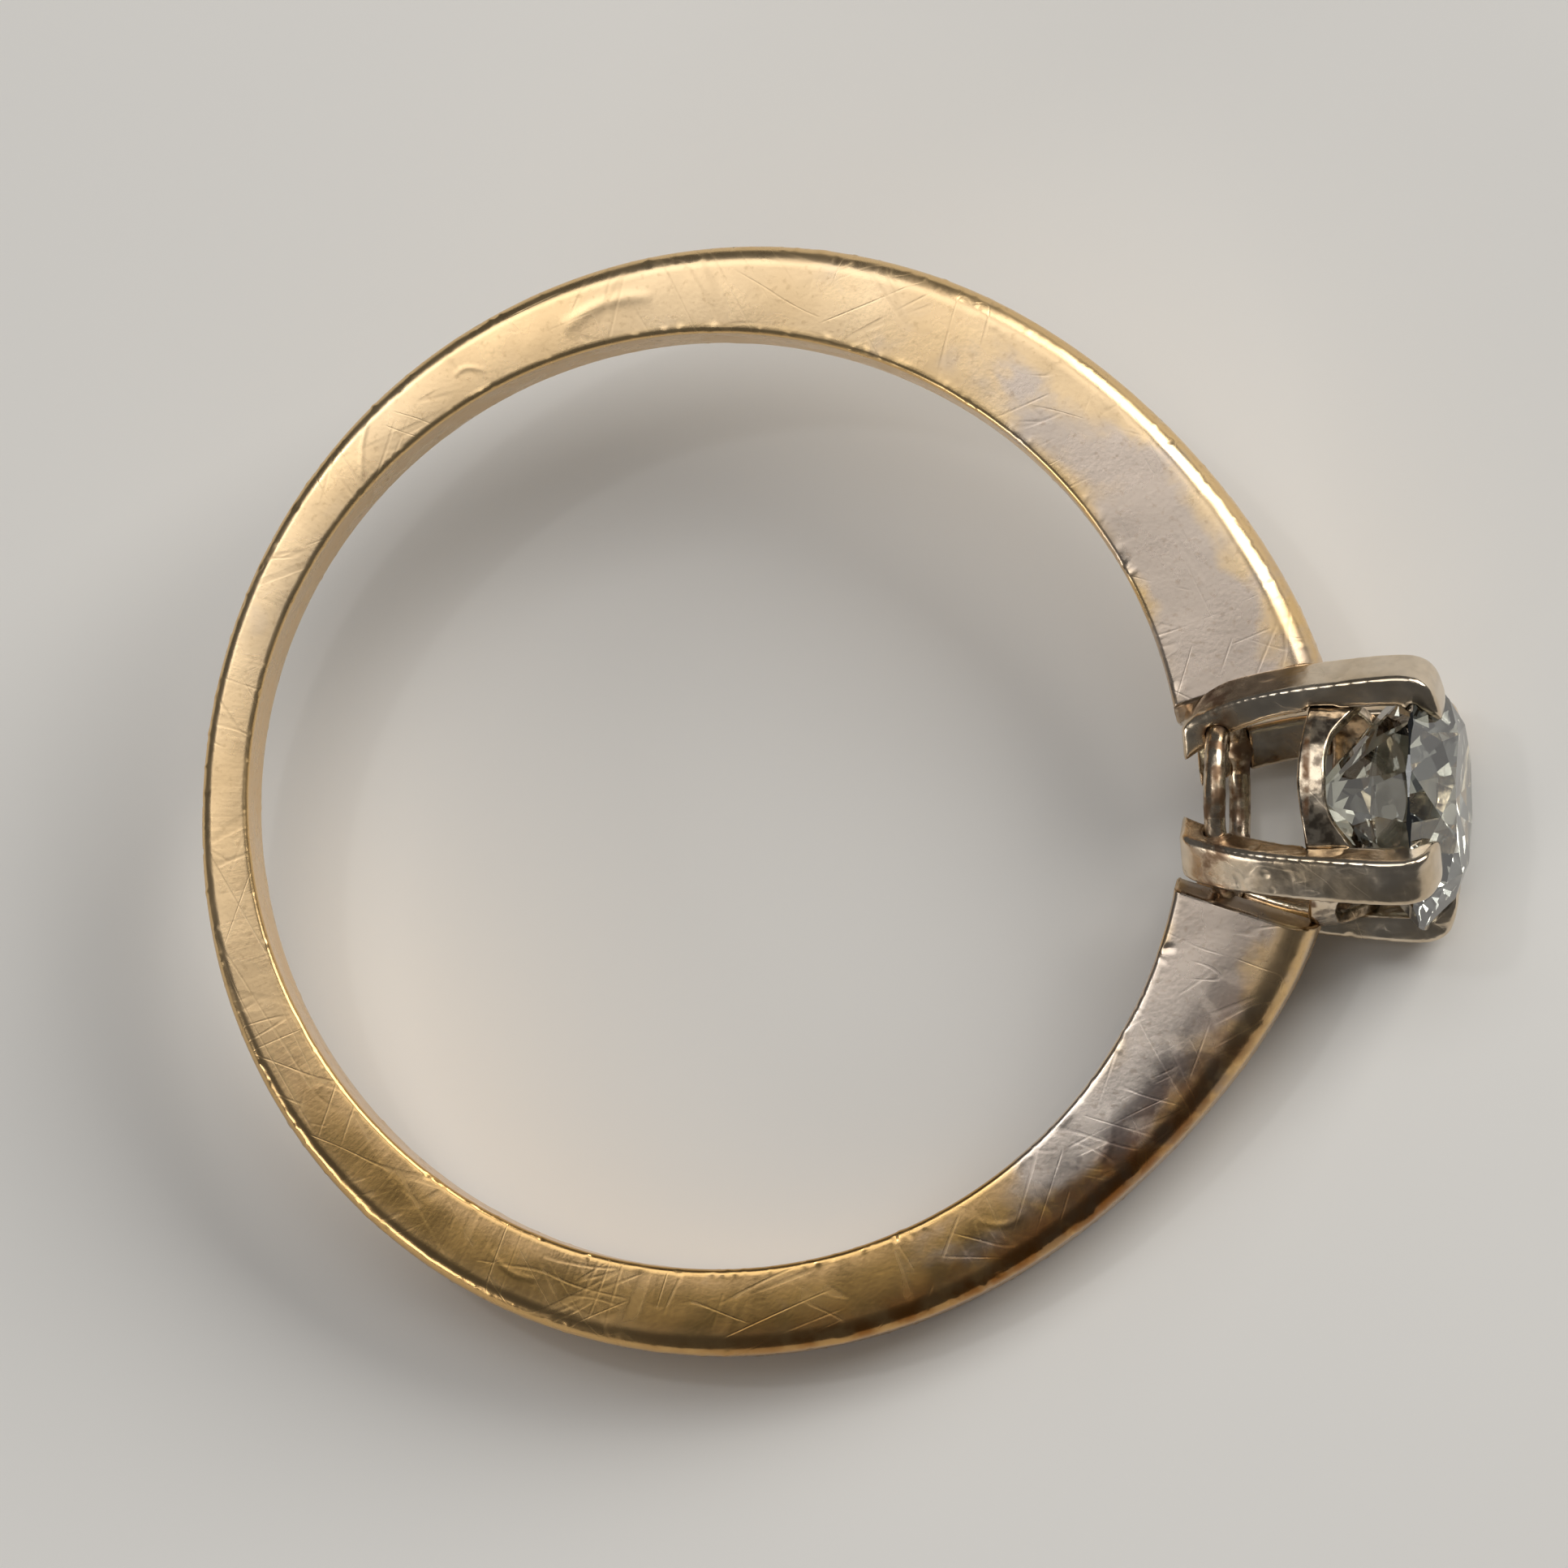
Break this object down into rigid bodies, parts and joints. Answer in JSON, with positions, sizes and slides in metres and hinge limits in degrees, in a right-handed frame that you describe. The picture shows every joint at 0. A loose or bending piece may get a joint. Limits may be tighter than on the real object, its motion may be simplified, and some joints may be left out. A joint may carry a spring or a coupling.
{
  "type": "solitaire engagement ring",
  "caption": "Tapered yellow-gold band with wide shoulders and a white-metal claw basket holding a round brilliant-cut stone.",
  "frame": {"origin": "centre of the finger bore, half way across the band's width", "axes": "+Z along the finger axis, out of one flat side of the band, +X from the finger to the stone, +Y across the head"},
  "size_m": [0.0231, 0.0202, 0.0052],
  "materials": {
    "yellow_gold": "polished, with fine scratches",
    "white_gold": "polished",
    "diamond": "faceted, clear"
  },
  "bodies": {
    "root": {"shank": "yellow_gold", "claw_left_upper": "white_gold", "claw_right_upper": "white_gold", "claw_right_lower": "white_gold", "claw_left_lower": "white_gold", "lower_gallery_rail": "white_gold", "upper_gallery_rail": "white_gold", "diamond": "diamond"}
  },
  "joints": []
}
